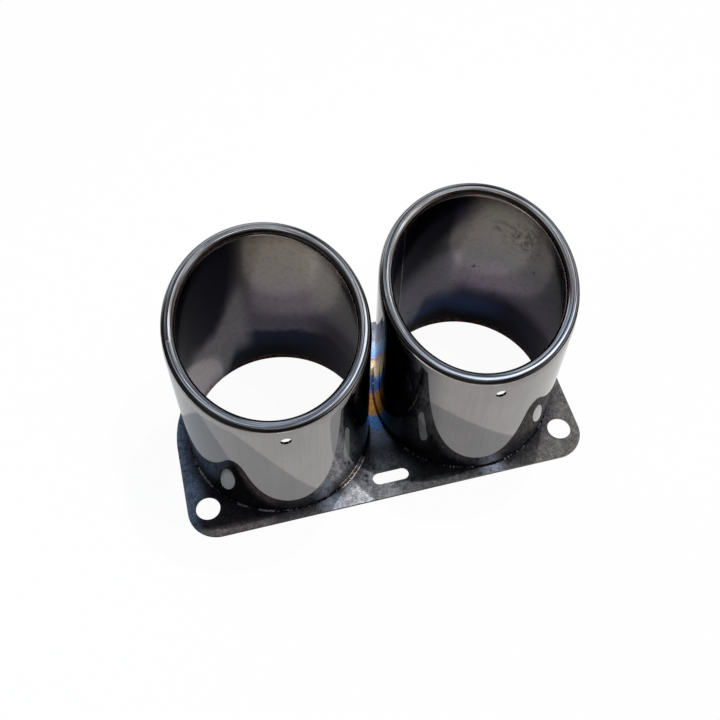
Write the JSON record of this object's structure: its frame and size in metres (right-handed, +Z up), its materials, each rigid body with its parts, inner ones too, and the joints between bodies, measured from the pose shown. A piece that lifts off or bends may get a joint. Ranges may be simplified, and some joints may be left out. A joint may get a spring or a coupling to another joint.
{
  "type": "exhaust tip",
  "caption": "Twin exhaust tip: slash cut tubes with rolled lips, welded side by side on a bolt-on plate.",
  "frame": {"origin": "on the plate's underside, midway between the axes of the two tubes", "axes": "+Z up along the tubes to the lips, +X across the pair, +Y from the bolt holes to the back of the plate"},
  "size_m": [0.1982, 0.1007, 0.1102],
  "materials": {
    "plate": "satin, mottled and heat tinted",
    "tube": "dark mirror outside, satin and heat tinted inside",
    "weld": "bare fine weld bead"
  },
  "bodies": {
    "root": {"mounting_plate": "plate", "left_tip": "tube", "right_tip": "tube", "left_weld": "weld", "right_weld": "weld"}
  },
  "joints": []
}
